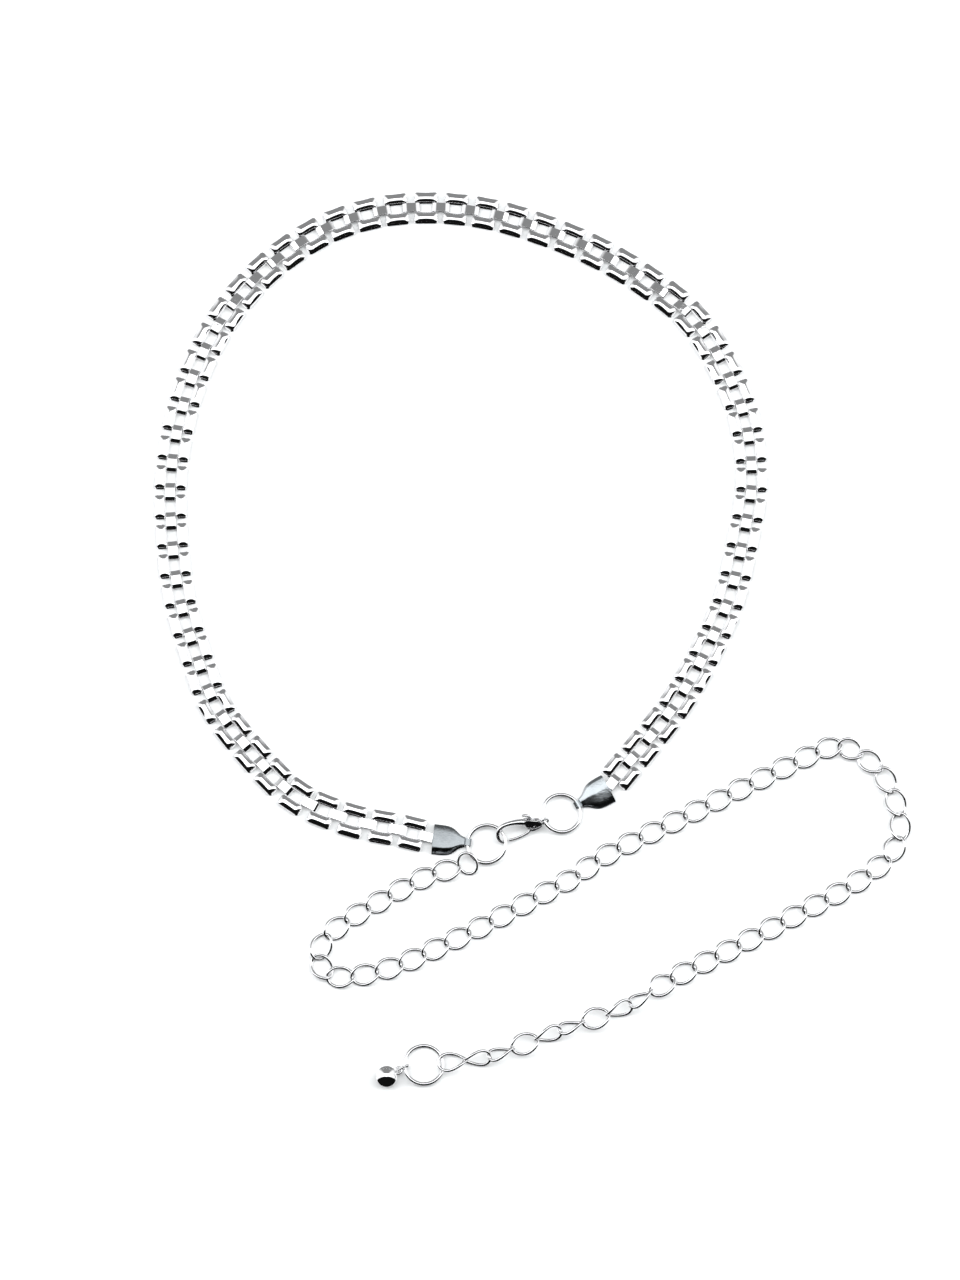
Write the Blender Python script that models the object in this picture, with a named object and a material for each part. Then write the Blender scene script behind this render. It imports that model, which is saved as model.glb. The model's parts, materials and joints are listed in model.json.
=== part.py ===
# Waist chain: a loop of panther links, closed by a lobster clasp between two jump rings,
# with a long curb chain that ends in a ring and a ball drop.
# Metres, +Z up. Everything lies on the plane z = 0, and +Y is the far side of the loop.

import math

import bmesh
import bpy
from mathutils import Matrix, Vector

CLEARANCE = 0.0003          # gap between separate pieces
BITE = 0.0001               # how far fused pieces run into each other

# Panther links: two pads on two bars, and a strip that hooks on the bars of two neighbours.
LINK_PITCH = 0.01075
CHAIN_WIDTH = 0.0113
CHAIN_HEIGHT = 0.0027
PAD_LENGTH = 0.0085
PAD_WIDTH = 0.0037
PAD_CORNER = 0.0008         # cut-off of a pad's outer corners
CROWN_INSET_ACROSS = 0.0007
CROWN_INSET_ALONG = 0.0012
BAR_SIZE = 0.0006
BAR_HEIGHT = 0.0015         # centre of a bar above the floor
STRIP_LENGTH = 0.0065
STRIP_WIDTH = 0.0033
STRIP_THICKNESS = 0.0004
STRIP_TOP = 0.0024
STRIP_BOTTOM = 0.00075
STRIP_INSERT = 0.0012       # how far the last strip reaches into an end cap
STRIP_SHOULDER = 0.0002     # how far a strip's top edge lies inside its end
STRIP_LIP = 0.00015         # how far a strip's turned-in lip reaches past the bar, and rises inside

# End caps: a folded sheet, wide at the mouth, rolled round a ring's wire at the tip.
CAP_LENGTH = 0.0112
CAP_WIDTH = 0.0106
CAP_HEIGHT = 0.0031
CAP_WALL = 0.0004
CAP_CORNER = 0.0006
CAP_LOOP_LENGTH = 0.0025
CAP_LOOP_WALL = 0.0004
CAP_LOOP_SINK = 0.0003      # how far the rolled loop runs into the cap's tip
LOOP_STEPS = 12
# Share of the length, then the width, the underside and the top as shares of width and height.
CAP_SECTIONS = (
    (0.00, 1.00, 0.00, 1.00),
    (0.34, 1.00, 0.00, 1.00),
    (0.60, 0.87, 0.00, 0.96),
    (0.77, 0.55, 0.06, 0.85),
    (1.00, 0.32, 0.22, 0.62),
)
CAP_HOLLOW_SECTIONS = 3     # the pocket follows this many of the sections

# Jump rings
RING_DIAMETER = 0.0144
RING_WIRE = 0.00106
RING_STEPS = 16
WIRE_SIDES = 5

# Lobster clasp, measured from the middle of its tail eye towards the nose.
CLASP_EYE = Vector((0.00351, -0.06564))
CLASP_HEADING = 200.4       # degrees, from the eye to the nose
CLASP_ROLL = 38.0           # degrees, the hook's back up
CLASP_REST = 0.0031         # height of the clasp's long axis
CLASP_REACH = 0.0150        # from the eye to the left ring's wire
EYE_RADIUS = 0.00130
EYE_WIRE = 0.00076
EYE_TURN = -30.0            # degrees that the eye is turned against the hook
EYE_STEPS = 10
EYE_SIDES = 6
BODY_THICKNESS = 0.0027
SLOT_WIDTH = 0.0015
PIN_RADIUS = 0.00045
PIN_STEPS = 10
LEVER_THICKNESS = 0.0008
HUB_RADIUS = 0.00125
HUB_STEPS = 12
LEVER_HALF_WIDTH = 0.00042
PIVOT = Vector((0.0042, -0.0002))
BODY_OUTLINE = (
    (0.0011, 0.0008), (0.0026, 0.0017), (0.0050, 0.0029), (0.0070, 0.0033),
    (0.0070, 0.0014), (0.0062, -0.0004), (0.0050, -0.0015), (0.0026, -0.0014),
    (0.0011, -0.0008),
)
SLOT_SPAN = (0.0024, 0.00635)
HOOK_ROOT = 0.0066          # where the hook starts, inside the body's front end
HOOK_RISE = 0.0040          # from the long axis to the middle of the hook's back
HOOK_BAR = 0.0014
HOOK_SIDES = 6
# Share of the way from the root to the ring's wire, then the rise and the bar's width as shares.
HOOK_SECTIONS = (
    (0.00, 0.58, 1.07), (0.29, 0.85, 1.00), (0.64, 1.00, 1.00), (0.98, 0.95, 0.97),
    (1.19, 0.63, 0.94), (1.26, 0.10, 0.89), (1.21, -0.35, 0.83), (1.00, -0.62, 0.71),
)
# Both routes of the lever start in its hub's wall, at these headings from the pivot.
ARM_START = -41.0
TRIGGER_START = 83.0
TRIGGER_REACH = 0.0028      # from the pivot to the end of the thumb piece
# Share of the way from the pivot to the ring's wire, and share of the hook's rise.
ARM_SECTIONS = ((0.21, -0.47), (0.54, -0.63), (0.90, -0.56))
# Share of the thumb piece's reach, and share of the hook's rise.
TRIGGER_SECTIONS = ((0.00, 0.60), (0.26, 1.03), (1.00, 1.24))

# Where the rings and caps sit, as headings in degrees seen from above.
LEFT_RING_HOOK = 23.5       # from the left ring's middle to the hook
LEFT_CAP_HEADING = 174.0    # from the left ring's middle to the left cap
RIGHT_RING_EYE = 206.6
RIGHT_CAP_HEADING = 29.0
LEFT_RING_LOW = (265.0, 0.0019)     # heading of a third point of the ring, and its height
RIGHT_RING_LOW = (297.0, 0.0018)

# Route of the panther chain between the two caps, clockwise seen from above.
LOOP_ROUTE = (
    (-0.0450, -0.0690), (-0.0655, -0.0645), (-0.0840, -0.0560), (-0.0995, -0.0405),
    (-0.1120, -0.0240), (-0.1195, -0.0050), (-0.1255, 0.0150), (-0.1285, 0.0360),
    (-0.1295, 0.0575), (-0.1270, 0.0790), (-0.1210, 0.1000), (-0.1110, 0.1200),
    (-0.0965, 0.1375), (-0.0785, 0.1510), (-0.0595, 0.1585), (-0.0390, 0.1610),
    (-0.0175, 0.1590), (0.0030, 0.1530), (0.0225, 0.1445), (0.0405, 0.1335),
    (0.0570, 0.1195), (0.0685, 0.1010), (0.0760, 0.0805), (0.0780, 0.0580),
    (0.0745, 0.0360), (0.0690, 0.0140), (0.0600, -0.0060), (0.0495, -0.0240),
    (0.0370, -0.0400), (0.0315, -0.0465),
)

# Curb chain
CURB_PITCH = 0.0087
CURB_WIDTH = 0.0078
CURB_WIRE = 0.0009
CURB_TWIST = 64.0           # degrees between the two ends of a link
CURB_STEPS = 10
CURB_BITE = 0.000162        # how far two linked wires are fused together
TURNED_PAIRS = (9, 6, 3)    # counted from the end: where two links turn the chain over
PAIR_ROLLS = (60.0, 120.0)
LAST_ROLL = 30.0
CONNECTOR_LENGTH = 0.0086   # the rounder link that hangs on the left ring
CONNECTOR_WIDTH = 0.00745
CONNECTOR_PLACE = Vector((-0.0233, -0.0804, 0.0022))
CONNECTOR_HEADING = 118.8
CONNECTOR_SLOPE = 16.0
CONNECTOR_ROLL = -20.2
# From the connector's outer side to the end ring.
CURB_ROUTE = (
    (-0.0360, -0.0840), (-0.0510, -0.0920), (-0.0655, -0.1005),
    (-0.0725, -0.1060), (-0.0760, -0.1130), (-0.0735, -0.1190), (-0.0655, -0.1205),
    (-0.0485, -0.1165), (-0.0330, -0.1095), (-0.0175, -0.1020), (-0.0025, -0.0940),
    (0.0075, -0.0885), (0.0135, -0.0865), (0.0185, -0.0810), (0.0335, -0.0730),
    (0.0490, -0.0655), (0.0650, -0.0575), (0.0810, -0.0495), (0.0935, -0.0435),
    (0.0985, -0.0410), (0.1030, -0.0385), (0.1110, -0.0380), (0.1155, -0.0425),
    (0.1215, -0.0470), (0.1255, -0.0555), (0.1280, -0.0640), (0.1275, -0.0725),
    (0.1225, -0.0795), (0.1090, -0.0890), (0.0945, -0.0965), (0.0785, -0.1050),
    (0.0630, -0.1130), (0.0470, -0.1210), (0.0310, -0.1310), (0.0150, -0.1365),
    (0.0000, -0.1420), (-0.0160, -0.1480), (-0.0330, -0.1500),
)

# End ring and ball drop
END_RING_HEIGHTS = ((4.0, 0.0009), (184.0, 0.0022), (274.0, 0.0022))
BALL_RING_HEADING = 188.0   # from the end ring's middle to the ball's ring
BALL_HEADING = 208.0
BALL_RADIUS = 0.0036
BALL_STEPS = 14
BALL_EYE_RADIUS = 0.0011
BALL_EYE_WIRE = 0.0007
BALL_NECK = 0.0012          # from the ball's surface to the middle of its eye
BALL_RING_RADIUS = 0.00195
BALL_RING_WIRE = 0.0007
LINK_HEIGHT = 0.00245       # height of the ball's eye and of its ring

SILVER = (0.90, 0.90, 0.91)
BRUSHED = (0.62, 0.64, 0.68)


def clear_scene():
    for obj in list(bpy.data.objects):
        bpy.data.objects.remove(obj, do_unlink=True)


def metal(name, colour, roughness):
    material = bpy.data.materials.new(name)
    material.use_nodes = True
    shader = material.node_tree.nodes["Principled BSDF"]
    shader.inputs["Base Color"].default_value = (*colour, 1.0)
    shader.inputs["Metallic"].default_value = 1.0
    shader.inputs["Roughness"].default_value = roughness
    return material


def add_object(name, bm, material=None):
    bmesh.ops.recalc_face_normals(bm, faces=bm.faces)
    mesh = bpy.data.meshes.new(name)
    bm.to_mesh(mesh)
    bm.free()
    mesh.shade_smooth()
    mesh.set_sharp_from_angle(angle=math.radians(40.0))
    obj = bpy.data.objects.new(name, mesh)
    bpy.context.scene.collection.objects.link(obj)
    if material:
        mesh.materials.append(material)
    return obj


def boolean(obj, other, operation):
    other.hide_render = True
    other.display_type = "WIRE"
    modifier = obj.modifiers.new(other.name, "BOOLEAN")
    modifier.operation = operation
    modifier.solver = "EXACT"
    modifier.object = other


def flat_direction(heading):
    angle = math.radians(heading)
    return Vector((math.cos(angle), math.sin(angle), 0.0))


def add_rings(bm, rings, closed=False):
    """Skins rings of equal length; an open run is capped at both ends."""
    rows = [[bm.verts.new(point) for point in ring] for ring in rings]
    count = len(rows[0])
    spans = len(rows) if closed else len(rows) - 1
    for i in range(spans):
        first = rows[i]
        second = rows[(i + 1) % len(rows)]
        for j in range(count):
            k = (j + 1) % count
            bm.faces.new((first[j], first[k], second[k], second[j]))
    if not closed:
        bm.faces.new(list(reversed(rows[0])))
        bm.faces.new(rows[-1])
    return rows


def corner_radius(diameter):
    """How far the corners of a faceted wire lie out, when it has the girth of the round one."""
    half_side = math.pi / WIRE_SIDES
    return diameter / 2 * half_side / math.sin(half_side)


def wire_section(centre, outward, across, radius, sides, squash=1.0):
    """A ring of points round a wire, its first corner facing inwards."""
    ring = []
    for k in range(sides):
        angle = math.pi + 2.0 * math.pi * k / sides
        ring.append(
            centre + outward * (radius * math.cos(angle)) + across * (radius * squash * math.sin(angle))
        )
    return ring


def round_path(middle, first, second, radius, steps, phase=0.0):
    """A polygon round a circle, with the middle of one side in the direction of phase degrees."""
    outer = radius / math.cos(math.pi / steps)
    path = []
    for k in range(steps):
        angle = math.radians(phase) + 2.0 * math.pi * (k + 0.5) / steps
        path.append(middle + (first * math.cos(angle) + second * math.sin(angle)) * outer)
    return path


def add_closed_wire(bm, path, radius, sides):
    """A closed wire along path, whose sections face the path's own middle."""
    middle = sum(path, Vector()) / len(path)
    rings = []
    for i, point in enumerate(path):
        tangent = (path[(i + 1) % len(path)] - path[i - 1]).normalized()
        outward = point - middle
        outward = (outward - tangent * outward.dot(tangent)).normalized()
        rings.append(wire_section(point, outward, tangent.cross(outward), radius, sides))
    add_rings(bm, rings, closed=True)


def add_prism(bm, outline, low, high, place):
    """An outline in the local XY plane, extruded from low to high and moved by place."""
    bottom = [place @ Vector((x, y, low)) for x, y in outline]
    top = [place @ Vector((x, y, high)) for x, y in outline]
    add_rings(bm, (bottom, top))


def circle(x, y, radius, steps):
    turns = [2.0 * math.pi * k / steps for k in range(steps)]
    return [(x + radius * math.cos(turn), y + radius * math.sin(turn)) for turn in turns]


def smooth_route(points, steps=16):
    """Points along a Catmull-Rom curve through the chosen ones."""
    points = [Vector(point) for point in points]
    padded = [2 * points[0] - points[1], *points, 2 * points[-1] - points[-2]]
    route = []
    for i in range(1, len(padded) - 2):
        p0, p1, p2, p3 = padded[i - 1:i + 3]
        for k in range(steps):
            t = k / steps
            route.append(
                0.5 * ((2 * p1) + (p2 - p0) * t + (2 * p0 - 5 * p1 + 4 * p2 - p3) * t ** 2
                       + (3 * p1 - p0 - 3 * p2 + p3) * t ** 3)
            )
    route.append(points[-1])
    return route


def route_length(route):
    return sum((b - a).length for a, b in zip(route, route[1:]))


def point_at(route, distance):
    """The point at a distance along the route, and the direction there."""
    for a, b in zip(route, route[1:]):
        step = (b - a).length
        if distance <= step:
            return a + (b - a) * (distance / step), (b - a).normalized()
        distance -= step
    direction = (route[-1] - route[-2]).normalized()
    return route[-1] + direction * distance, direction


def frame_at(point, direction):
    """A matrix with X along the flat direction, Z up and its origin at the point."""
    x = Vector((direction[0], direction[1], 0.0)).normalized()
    y = Vector((-x.y, x.x, 0.0))
    place = Matrix((x, y, Vector((0.0, 0.0, 1.0)))).transposed().to_4x4()
    place.translation = (point[0], point[1], 0.0)
    return place


def add_pad(bm, place, side):
    """A pillow-shaped pad: a rim with its two outer corners cut off, and a smaller crown."""
    inner = side * (CHAIN_WIDTH / 2 - PAD_WIDTH)
    outer = side * CHAIN_WIDTH / 2
    half = PAD_LENGTH / 2
    corner = side * PAD_CORNER
    rim = [
        (-half, inner), (-half, outer - corner), (-half + PAD_CORNER, outer),
        (half - PAD_CORNER, outer), (half, outer - corner), (half, inner),
    ]
    top = half - CROWN_INSET_ALONG
    inset = side * CROWN_INSET_ACROSS
    crown = [(-top, inner + inset), (-top, outer - inset), (top, outer - inset), (top, inner + inset)]
    low = [bm.verts.new(place @ Vector((x, y, 0.0))) for x, y in rim]
    high = [bm.verts.new(place @ Vector((x, y, CHAIN_HEIGHT))) for x, y in crown]
    bm.faces.new(low)
    bm.faces.new(high)
    for face in (
        (low[0], low[1], high[1], high[0]), (low[1], low[2], high[1]),
        (low[2], low[3], high[2], high[1]), (low[3], low[4], high[2]),
        (low[4], low[5], high[3], high[2]), (low[5], low[0], high[0], high[3]),
    ):
        bm.faces.new(face)


def bar_offset():
    """From the middle of a strip to the bar that each of its ends hooks on."""
    return STRIP_LENGTH / 2 - STRIP_THICKNESS - BAR_SIZE


def add_bar(bm, place, along):
    half = BAR_SIZE / 2
    reach = CHAIN_WIDTH / 2 - PAD_WIDTH / 2
    section = ((-half, -half), (half, -half), (half, half), (-half, half))
    ends = []
    for y in (-reach, reach):
        ends.append([place @ Vector((along + x, y, BAR_HEIGHT + z)) for x, z in section])
    add_rings(bm, ends)


def strip_profile():
    """The side view of a strip: a plate whose ends hook down round a bar and bite into it."""
    end = STRIP_LENGTH / 2
    inside = end - STRIP_THICKNESS
    bar_low = BAR_HEIGHT - BAR_SIZE / 2
    half = (
        (end - STRIP_SHOULDER, STRIP_TOP), (end, STRIP_BOTTOM),
        (bar_offset() - STRIP_LIP, STRIP_BOTTOM), (bar_offset(), bar_low + BITE / 2),
        (inside, STRIP_BOTTOM + STRIP_LIP), (inside, STRIP_TOP - STRIP_THICKNESS),
    )
    return list(half) + [(-x, z) for x, z in reversed(half)]


def add_strip(bm, place):
    profile = strip_profile()
    sides = []
    for y in (-STRIP_WIDTH / 2, STRIP_WIDTH / 2):
        sides.append([place @ Vector((x, y, z)) for x, z in profile])
    add_rings(bm, sides)


def panther_chain(left_mouth, right_mouth, material):
    """Outer links at even stations of the route, and strips half way between them."""
    route = smooth_route((left_mouth, *LOOP_ROUTE, right_mouth))
    length = route_length(route)
    first_strip = STRIP_LENGTH / 2 - STRIP_INSERT
    count = round((length - 2 * first_strip) / LINK_PITCH)
    pitch = (length - 2 * first_strip) / count
    pads = bmesh.new()
    bars = bmesh.new()
    strips = bmesh.new()
    for i in range(count):
        place = frame_at(*point_at(route, first_strip + (i + 0.5) * pitch))
        for side in (-1, 1):
            add_pad(pads, place, side)
            add_bar(bars, place, side * (pitch / 2 - bar_offset()))
    for i in range(count + 1):
        place = frame_at(*point_at(route, first_strip + i * pitch))
        add_strip(strips, place)
    chain = add_object("panther_chain", pads, material)
    boolean(chain, add_object("cross_bars", bars), "UNION")
    boolean(chain, add_object("middle_strips", strips), "UNION")
    return chain


def cap_section(share, width, underside, top, shrink):
    """Eight corners of a rounded rectangle; shrink moves it inwards for the pocket."""
    x = -share * CAP_LENGTH
    half = CAP_WIDTH * width / 2 - shrink
    low = CAP_HEIGHT * underside + shrink
    high = CAP_HEIGHT * top - shrink
    cut = CAP_CORNER - shrink / 2
    return [
        Vector((x, y, z)) for y, z in (
            (-half + cut, low), (half - cut, low), (half, low + cut), (half, high - cut),
            (half - cut, high), (-half + cut, high), (-half, high - cut), (-half, low + cut),
        )
    ]


def end_cap(name, place, material):
    """A leaf-shaped shell, open at its mouth at x = 0, with a rolled loop at the tip."""
    bm = bmesh.new()
    outer = []
    for section in CAP_SECTIONS:
        outer.append([bm.verts.new(place @ p) for p in cap_section(*section, 0.0)])
    inner = []
    for section in CAP_SECTIONS[:CAP_HOLLOW_SECTIONS]:
        inner.append([bm.verts.new(place @ p) for p in cap_section(*section, CAP_WALL)])
    for rows in (outer, inner, [outer[0], inner[0]]):
        for first, second in zip(rows, rows[1:]):
            for j in range(8):
                k = (j + 1) % 8
                bm.faces.new((first[j], first[k], second[k], second[j]))
    bm.faces.new(outer[-1])
    bm.faces.new(inner[-1])
    cap = add_object(name, bm, material)

    loop = bmesh.new()
    outer_radius = cap_loop_radius()
    inner_radius = outer_radius - CAP_LOOP_WALL
    x = -cap_reach()
    rings = []
    for y, radius in (
        (-1, inner_radius), (-1, outer_radius), (1, outer_radius), (1, inner_radius),
    ):
        rings.append([
            place @ Vector((px, y * CAP_LOOP_LENGTH / 2, pz))
            for px, pz in circle(x, outer_radius, radius, LOOP_STEPS)
        ])
    add_rings(loop, rings, closed=True)
    boolean(cap, add_object(name + "_loop", loop), "UNION")
    return cap


def cap_loop_radius():
    hole = corner_radius(RING_WIRE) + CLEARANCE
    return hole / math.cos(math.pi / LOOP_STEPS) + CAP_LOOP_WALL


def cap_reach():
    """From a cap's mouth to the middle of its rolled loop."""
    return CAP_LENGTH + cap_loop_radius() - CAP_LOOP_SINK


def ring_plane(heights):
    """The middle height and the slopes of a ring's plane, from three headings and heights."""
    rows = []
    for heading, height in heights:
        spoke = flat_direction(heading) * ring_middle_radius()
        rows.append((spoke.x, spoke.y, 1.0, height))
    system = Matrix([row[:3] for row in rows])
    return system.inverted() @ Vector([row[3] for row in rows])


def ring_middle_radius():
    return (RING_DIAMETER - RING_WIRE) / 2


def jump_ring(name, middle, heights, material):
    """A ring whose plane passes through three heights; a side of it faces the first heading."""
    slope_x, slope_y, height = ring_plane(heights)
    first = Vector((1.0, 0.0, slope_x))
    second = Vector((0.0, 1.0, slope_y))
    centre = Vector((middle.x, middle.y, height))
    path = round_path(centre, first, second, ring_middle_radius(), RING_STEPS, heights[0][0])
    bm = bmesh.new()
    add_closed_wire(bm, path, corner_radius(RING_WIRE), WIRE_SIDES)
    return add_object(name, bm, material)


def clasp_frame():
    """X from the eye to the nose, Y to the hook's back, Z across the clasp."""
    along = flat_direction(CLASP_HEADING)
    side = Vector((along.y, -along.x, 0.0))
    roll = math.radians(CLASP_ROLL)
    back = side * math.cos(roll) + Vector((0.0, 0.0, math.sin(roll)))
    place = Matrix((along, back, along.cross(back))).transposed().to_4x4()
    place.translation = (CLASP_EYE.x, CLASP_EYE.y, CLASP_REST)
    return place


def thick_line(points, half_width):
    """The outline of a bar that follows points in a plane."""
    left = []
    right = []
    for i, point in enumerate(points):
        before = points[max(i - 1, 0)]
        after = points[min(i + 1, len(points) - 1)]
        along = (after - before).normalized()
        normal = Vector((-along.y, along.x))
        left.append(tuple(point + normal * half_width))
        right.append(tuple(point - normal * half_width))
    return right + left[::-1]


def clasp_body(place, material):
    bm = bmesh.new()
    add_prism(bm, BODY_OUTLINE, -BODY_THICKNESS / 2, BODY_THICKNESS / 2, place)
    body = add_object("clasp_body", bm, material)

    slot = bmesh.new()
    beyond = CLASP_REACH
    low, high = SLOT_SPAN
    outline = ((low, -beyond), (high, -beyond), (high, beyond), (low, beyond))
    add_prism(slot, outline, -SLOT_WIDTH / 2, SLOT_WIDTH / 2, place)
    boolean(body, add_object("lever_slot", slot), "DIFFERENCE")

    pin = bmesh.new()
    reach = (BODY_THICKNESS + SLOT_WIDTH) / 4
    add_prism(pin, circle(*PIVOT, PIN_RADIUS, PIN_STEPS), -reach, reach, place)
    boolean(body, add_object("pivot_pin", pin), "UNION")

    hook = bmesh.new()
    span = CLASP_REACH - HOOK_ROOT
    route = [Vector((HOOK_ROOT + share * span, rise * HOOK_RISE)) for share, rise, _ in HOOK_SECTIONS]
    rings = []
    for i, (point, section) in enumerate(zip(route, HOOK_SECTIONS)):
        width = section[2]
        along = (route[min(i + 1, len(route) - 1)] - route[max(i - 1, 0)]).normalized()
        outward = place.to_3x3() @ Vector((-along.y, along.x, 0.0))
        across = place.to_3x3() @ Vector((0.0, 0.0, 1.0))
        centre = place @ Vector((point.x, point.y, 0.0))
        rings.append(wire_section(centre, outward, across, HOOK_BAR / 2 * width, HOOK_SIDES, 1 / width))
    add_rings(hook, rings)
    boolean(body, add_object("hook", hook), "UNION")

    eye = bmesh.new()
    turn = math.radians(EYE_TURN)
    local = place.to_3x3()
    up = local @ Vector((0.0, math.cos(turn), math.sin(turn)))
    along = local @ Vector((1.0, 0.0, 0.0))
    path = round_path(place.translation, along, up, EYE_RADIUS, EYE_STEPS)
    add_closed_wire(eye, path, EYE_WIRE / 2, EYE_SIDES)
    boolean(body, add_object("tail_eye", eye), "UNION")
    return body


def lever_route(start, reach, sections):
    """From the middle of the hub's wall, through sections of the reach and of the hook's rise."""
    wall = flat_direction(start) * (PIN_RADIUS + CLEARANCE + HUB_RADIUS) / 2
    route = [wall.to_2d()]
    for share, rise in sections:
        route.append(Vector((share * reach, rise * HOOK_RISE - PIVOT.y)))
    return route


def clasp_lever(place, material):
    """The sprung arm with its thumb piece; the object's origin is on its pivot."""
    pivot = Matrix.Translation(place @ PIVOT.to_3d()) @ place.to_3x3().to_4x4()
    half = LEVER_THICKNESS / 2
    bore_radius = PIN_RADIUS + CLEARANCE
    bm = bmesh.new()
    rings = []
    for z, radius in (
        (-half, bore_radius), (-half, HUB_RADIUS), (half, HUB_RADIUS), (half, bore_radius),
    ):
        rings.append([Vector((x, y, z)) for x, y in circle(0.0, 0.0, radius, HUB_STEPS)])
    add_rings(bm, rings, closed=True)
    lever = add_object("clasp_lever", bm, material)
    lever.matrix_world = pivot
    arm = lever_route(ARM_START, CLASP_REACH - PIVOT.x, ARM_SECTIONS)
    trigger = lever_route(TRIGGER_START, TRIGGER_REACH, TRIGGER_SECTIONS)
    for name, route, share in (("lever_arm", arm, 0.9), ("lever_trigger", trigger, 0.8)):
        bar = bmesh.new()
        add_prism(bar, thick_line(route, LEVER_HALF_WIDTH), -share * half, share * half, Matrix())
        helper = add_object(name, bar)
        helper.matrix_world = pivot
        boolean(lever, helper, "UNION")
    return lever


def joint_offset():
    """From a joint, where two wires are fused, to the middle of each."""
    return corner_radius(CURB_WIRE) - CURB_BITE / 2


def curb_path(start, end, roll):
    """The middle of one twisted oval wire that links the joints at its two ends."""
    along = (end - start).normalized()
    side = Vector((-along.y, along.x, 0.0)).normalized()
    up = along.cross(side)
    middle = (start + end) / 2
    half_length = ((end - start).length / 2 + joint_offset()) / math.cos(math.pi / CURB_STEPS)
    half_width = (CURB_WIDTH - CURB_WIRE) / 2
    path = []
    for k in range(CURB_STEPS):
        angle = 2.0 * math.pi * (k + 0.5) / CURB_STEPS
        turn = math.radians(roll - CURB_TWIST / 2 * math.cos(angle))
        reach = half_width * math.sin(angle)
        path.append(
            middle + along * (half_length * math.cos(angle))
            + (side * math.cos(turn) + up * math.sin(turn)) * reach
        )
    return path


def rest_height(roll):
    """How high the middle of a link lies above the floor at a roll."""
    path = curb_path(Vector((0.0, 0.0, 0.0)), Vector((CURB_PITCH, 0.0, 0.0)), roll)
    return corner_radius(CURB_WIRE) - min(point.z for point in path) + BITE


def connector_axes():
    """The long and the short axis of the rounder link that hangs on the left ring."""
    along = flat_direction(CONNECTOR_HEADING)
    side = Vector((-along.y, along.x, 0.0))
    slope = math.radians(CONNECTOR_SLOPE)
    along = along * math.cos(slope) + Vector((0.0, 0.0, math.sin(slope)))
    roll = math.radians(CONNECTOR_ROLL)
    return along, side * math.cos(roll) + along.cross(side) * math.sin(roll)


def connector_path():
    along, side = connector_axes()
    half_length = (CONNECTOR_LENGTH - CURB_WIRE) / 2 / math.cos(math.pi / CURB_STEPS)
    half_width = (CONNECTOR_WIDTH - CURB_WIRE) / 2
    path = []
    for k in range(CURB_STEPS):
        angle = 2.0 * math.pi * (k + 0.5) / CURB_STEPS
        reach = along * (half_length * math.cos(angle)) + side * (half_width * math.sin(angle))
        path.append(CONNECTOR_PLACE + reach)
    return path


def extender_chain(material):
    """Curb links from joint to joint along the route. Returns the chain, and its last joint."""
    _, side = connector_axes()
    first_joint = CONNECTOR_PLACE + side * ((CONNECTOR_WIDTH - CURB_WIRE) / 2 + joint_offset())
    route = smooth_route((first_joint.to_2d(), *CURB_ROUTE))
    count = round(route_length(route) / CURB_PITCH)
    pitch = route_length(route) / count
    rolls = [0.0] * count
    for start in TURNED_PAIRS:
        for k, roll in enumerate(PAIR_ROLLS):
            rolls[count - start + k] = roll
    rolls[-1] = LAST_ROLL
    heights = [rest_height(roll) for roll in rolls]
    joints = []
    for i in range(count + 1):
        near = heights[max(i - 1, 0):i + 1]
        point, _ = point_at(route, i * pitch)
        joints.append(Vector((point.x, point.y, max(near))))
    even = bmesh.new()
    odd = bmesh.new()
    radius = corner_radius(CURB_WIRE)
    for i in range(count):
        bm = odd if i % 2 else even
        add_closed_wire(bm, curb_path(joints[i], joints[i + 1], rolls[i]), radius, WIRE_SIDES)
    add_closed_wire(odd, connector_path(), radius, WIRE_SIDES)
    chain = add_object("extender_chain", even, material)
    boolean(chain, add_object("every_other_link", odd), "UNION")
    return chain, joints[-1], (joints[-1] - joints[-2]).normalized()


def ball_drop(middle, eye, material):
    bm = bmesh.new()
    bmesh.ops.create_uvsphere(
        bm, u_segments=BALL_STEPS, v_segments=BALL_STEPS // 2 + 1, radius=BALL_RADIUS,
        matrix=Matrix.Translation(middle),
    )
    ball = add_object("ball_drop", bm, material)
    toward = (eye - middle).normalized()
    flat = Vector((toward.x, toward.y, 0.0)).normalized()
    side = Vector((-flat.y, flat.x, 0.0))
    bm = bmesh.new()
    path = round_path(eye, flat, side, BALL_EYE_RADIUS, EYE_STEPS)
    add_closed_wire(bm, path, corner_radius(BALL_EYE_WIRE), WIRE_SIDES)
    boolean(ball, add_object("ball_eye", bm), "UNION")
    return ball


def ball_ring(middle, flat, material):
    up = Vector((0.0, 0.0, 1.0))
    path = round_path(middle, flat, up, BALL_RING_RADIUS, EYE_STEPS)
    bm = bmesh.new()
    add_closed_wire(bm, path, corner_radius(BALL_RING_WIRE), WIRE_SIDES)
    return add_object("ball_ring", bm, material)


def on_ring(middle, heading):
    return middle + flat_direction(heading) * ring_middle_radius()


def centre_on_floor(objects):
    """Moves the finished pieces so that the origin is below the middle of them all."""
    bpy.context.view_layer.update()
    graph = bpy.context.evaluated_depsgraph_get()
    corners = []
    for obj in objects:
        evaluated = obj.evaluated_get(graph)
        corners += [obj.matrix_world @ Vector(corner) for corner in evaluated.bound_box]
    low = Vector([min(corner[i] for corner in corners) for i in range(3)])
    high = Vector([max(corner[i] for corner in corners) for i in range(3)])
    shift = Vector(((low.x + high.x) / 2, (low.y + high.y) / 2, low.z))
    for obj in bpy.context.scene.objects:
        obj.matrix_world = Matrix.Translation(-shift) @ obj.matrix_world


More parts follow.
